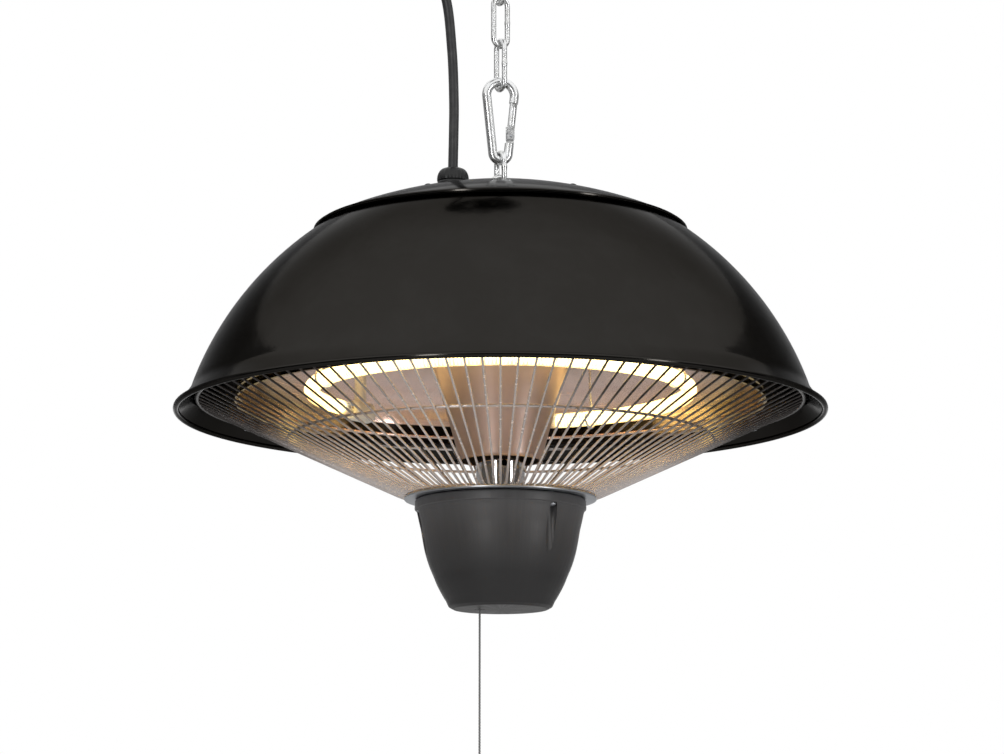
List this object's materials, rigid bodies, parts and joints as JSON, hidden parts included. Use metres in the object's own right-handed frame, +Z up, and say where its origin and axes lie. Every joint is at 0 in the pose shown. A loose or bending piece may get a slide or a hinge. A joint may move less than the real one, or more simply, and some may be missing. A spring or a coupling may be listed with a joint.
{
  "type": "hanging patio heater",
  "caption": "Round electric heater that hangs from a ceiling hook by a chain: domed shade, copper reflector, ring lamp, wire guard and pull switch.",
  "frame": {"origin": "middle of the flat top of the ceiling plate, where it meets the ceiling", "axes": "+Z up, out of the plate's top and into the ceiling; +X to the right of the picture; +Y away from the viewer"},
  "size_m": [0.425, 0.425, 0.6917],
  "materials": {
    "zinc": "bright zinc plate",
    "satin_steel": "satin",
    "black_enamel": "gloss black",
    "charcoal_paint": "charcoal satin",
    "copper_reflector": "copper coloured mirror",
    "chrome": "bright",
    "ceramic": "unglazed",
    "lamp_glass": "clear quartz",
    "black_plastic": "satin",
    "cable_rubber": "matt",
    "grey_cord": "twisted cord"
  },
  "bodies": {
    "ceiling": {"ceiling_plate": "zinc", "ceiling_screw_left": "zinc", "ceiling_screw_right": "zinc", "ceiling_hook": "zinc"},
    "link_5": {"chain_link_5": "zinc", "coil_strap": "black_plastic", "cable_coil": "cable_rubber", "plug_lead": "cable_rubber", "mains_plug": "black_plastic"},
    "link_4": {"chain_link_4": "zinc"},
    "link_3": {"chain_link_3": "zinc"},
    "link_2": {"chain_link_2": "zinc"},
    "link_1": {"chain_link_1": "zinc"},
    "snap_hook": {"snap_hook_frame": "zinc", "gate_rivet": "satin_steel"},
    "snap_gate": {"snap_gate": "zinc"},
    "hanger_link": {"hanger_link": "zinc"},
    "heater": {"hanger_eye": "zinc", "eye_nut_left": "zinc", "eye_nut_right": "zinc", "top_cap": "black_enamel", "cap_spacer_left": "zinc", "cap_spacer_right": "zinc", "cap_nut_left": "black_enamel", "cap_nut_right": "black_enamel", "dome_shade": "black_enamel", "gland_body": "black_plastic", "gland_nut": "black_plastic", "gland_lock_nut": "black_plastic", "terminal_block": "ceramic", "reflector_dish": "copper_reflector", "reflector_cone": "copper_reflector", "reflector_stud_1": "zinc", "reflector_stud_2": "zinc", "reflector_stud_3": "zinc", "lamp_tube": "lamp_glass", "lamp_end_left": "ceramic", "lamp_end_right": "ceramic", "lamp_clip_1": "zinc", "lamp_clip_2": "zinc", "lamp_clip_3": "zinc", "centre_tube": "chrome", "tube_nut": "zinc", "wire_guard": "chrome", "guard_hoop": "chrome", "guard_clip_1": "satin_steel", "guard_clip_2": "satin_steel", "guard_clip_3": "satin_steel", "guard_plate": "satin_steel", "switch_cup": "charcoal_paint", "cup_screw_1": "satin_steel", "cup_screw_2": "satin_steel", "cup_screw_3": "satin_steel", "switch_body": "black_plastic", "cord_bush": "black_plastic", "power_cable": "cable_rubber"},
    "pull_cord": {"pull_cord": "grey_cord", "pull_knob": "black_plastic"},
    "switch_arm": {"switch_arm": "satin_steel"}
  },
  "joints": [
    {"name": "link_5_swing", "type": "hinge", "parent": "ceiling", "child": "link_5", "pos_m": [0, 0, -0.056], "axis": [0.866, 0.5, 0], "range_deg": [-20, 20]},
    {"name": "link_4_swing", "type": "hinge", "parent": "link_5", "child": "link_4", "pos_m": [0, 0, -0.08495], "axis": [0.5, -0.866, 0], "range_deg": [-10, 10]},
    {"name": "link_3_swing", "type": "hinge", "parent": "link_4", "child": "link_3", "pos_m": [0, 0, -0.11465], "axis": [0.866, 0.5, 0], "range_deg": [-10, 10]},
    {"name": "link_2_swing", "type": "hinge", "parent": "link_3", "child": "link_2", "pos_m": [0, 0, -0.14435], "axis": [0.5, -0.866, 0], "range_deg": [-15, 15]},
    {"name": "link_1_swing", "type": "hinge", "parent": "link_2", "child": "link_1", "pos_m": [0, 0, -0.17405], "axis": [0.866, 0.5, 0], "range_deg": [-15, 15]},
    {"name": "snap_hook_swing", "type": "hinge", "parent": "link_1", "child": "snap_hook", "pos_m": [0, 0, -0.20375], "axis": [0.5, -0.866, 0], "range_deg": [-12, 12]},
    {"name": "gate_open", "type": "hinge", "parent": "snap_hook", "child": "snap_gate", "pos_m": [0.0063, 0.00134, -0.2359], "axis": [0.2079, -0.9781, 0], "range_deg": [0, 25], "stiffness_Nm_per_rad": 0.02, "springref_deg": -28.65},
    {"name": "hanger_link_swing", "type": "hinge", "parent": "snap_hook", "child": "hanger_link", "pos_m": [0, 0, -0.2524], "axis": [0.9781, 0.2079, 0], "range_deg": [-15, 15]},
    {"name": "heater_swing", "type": "hinge", "parent": "hanger_link", "child": "heater", "pos_m": [0, 0, -0.26815], "axis": [0.4695, -0.8829, 0], "range_deg": [-15, 15], "deforming": ["power_cable"]},
    {"name": "cord_pull", "type": "slide", "parent": "heater", "child": "pull_cord", "axis": [0, 0, -1], "range_m": [0, 0.008], "stiffness_N_per_m": 500, "springref_m": -0.002},
    {"name": "arm_rock", "type": "hinge", "parent": "heater", "child": "switch_arm", "pos_m": [0.008, 0, -0.52324], "axis": [0, -1, 0], "range_deg": [0, 20]}
  ],
  "couplings": [
    {"joint": "arm_rock", "follows": "cord_pull", "rad_per_m": 43.6}
  ]
}
